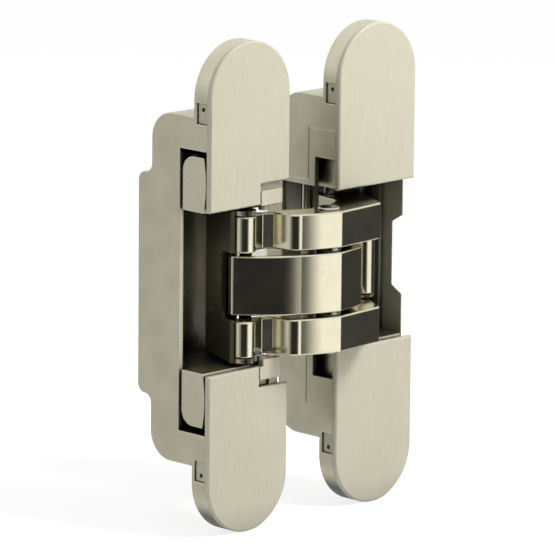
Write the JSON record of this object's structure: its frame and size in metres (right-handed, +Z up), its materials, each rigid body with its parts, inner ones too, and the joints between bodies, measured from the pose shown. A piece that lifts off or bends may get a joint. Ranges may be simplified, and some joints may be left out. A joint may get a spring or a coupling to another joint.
{
  "type": "concealed door hinge",
  "caption": "Concealed hinge with two round-ended mortise bodies, folding crossed arms, guide links, cover caps and side windows, shown open flat.",
  "frame": {"origin": "centre of the frame body's flange face, midway between its screw holes", "axes": "+Z up along the bodies, +X across to the door body, +Y into the mortise"},
  "size_m": [0.0633, 0.0306, 0.108],
  "materials": {
    "cast_body": "satin nickel over a casting",
    "cap_plate": "satin nickel, brushed along the body",
    "carrier_block": "satin nickel",
    "arm_metal": "polished nickel",
    "link_sheet": "satin sheet",
    "pin_steel": "polished",
    "bush_polymer": "plain"
  },
  "bodies": {
    "frame": {"frame_housing": "cast_body", "frame_cap_upper": "cap_plate", "frame_cap_lower": "cap_plate"},
    "frame_carrier": {"frame_carrier": "carrier_block", "frame_arm_pin": "pin_steel", "frame_link_pin": "pin_steel", "frame_link_washer_upper": "pin_steel", "frame_link_washer_lower": "pin_steel", "frame_clamp_upper": "pin_steel", "frame_clamp_lower": "pin_steel"},
    "middle_arm": {"middle_arm": "arm_metal", "middle_arm_bush": "bush_polymer", "centre_pin": "pin_steel", "door_eye_pin": "pin_steel", "cross_washer_upper": "pin_steel", "cross_washer_lower": "pin_steel"},
    "outer_arm": {"outer_arm_upper": "arm_metal", "outer_arm_lower": "arm_metal", "outer_arm_bush_upper": "bush_polymer", "outer_arm_bush_lower": "bush_polymer", "frame_eye_pin_upper": "pin_steel", "frame_eye_pin_lower": "pin_steel"},
    "frame_link": {"frame_link": "link_sheet"},
    "door_link": {"door_link": "link_sheet"},
    "door_carrier": {"door_carrier": "carrier_block", "door_arm_pin": "pin_steel", "door_link_pin": "pin_steel"},
    "door": {"door_housing": "cast_body", "door_cap_upper": "cap_plate", "door_cap_lower": "cap_plate"}
  },
  "joints": [
    {"name": "height_adjust", "type": "slide", "parent": "frame", "child": "frame_carrier", "axis": [0, 0, 1], "range_m": [-0.001, 0.001]},
    {"name": "fold", "type": "hinge", "parent": "frame_carrier", "child": "middle_arm", "pos_m": [0.00675, 0.0069, 0], "axis": [0, 0, 1], "range_deg": [-100.8, 0]},
    {"name": "outer_arm_turn", "type": "hinge", "parent": "middle_arm", "child": "outer_arm", "pos_m": [0.01965, -0.0056, 0], "axis": [0, 0, 1], "range_deg": [0, 21.7]},
    {"name": "frame_link_turn", "type": "hinge", "parent": "outer_arm", "child": "frame_link", "pos_m": [0.00115, 0.0016, 0], "axis": [0, 0, 1], "range_deg": [0, 6.8]},
    {"name": "door_link_turn", "type": "hinge", "parent": "middle_arm", "child": "door_link", "pos_m": [0.03815, 0.0016, 0], "axis": [0, 0, 1], "range_deg": [-6.8, 0]},
    {"name": "door_turn", "type": "hinge", "parent": "outer_arm", "child": "door_carrier", "pos_m": [0.03255, 0.0069, 0], "axis": [0, 0, 1], "range_deg": [-100.9, 0]},
    {"name": "side_adjust", "type": "slide", "parent": "door_carrier", "child": "door", "axis": [1, 0, 0], "range_m": [-0.0012, 0.0012]}
  ],
  "couplings": [
    {"joint": "outer_arm_turn", "follows": "fold", "ratio": -0.21429},
    {"joint": "frame_link_turn", "follows": "fold", "ratio": -0.06647},
    {"joint": "door_link_turn", "follows": "fold", "ratio": 0.06647},
    {"joint": "door_turn", "follows": "fold", "ratio": 1}
  ]
}
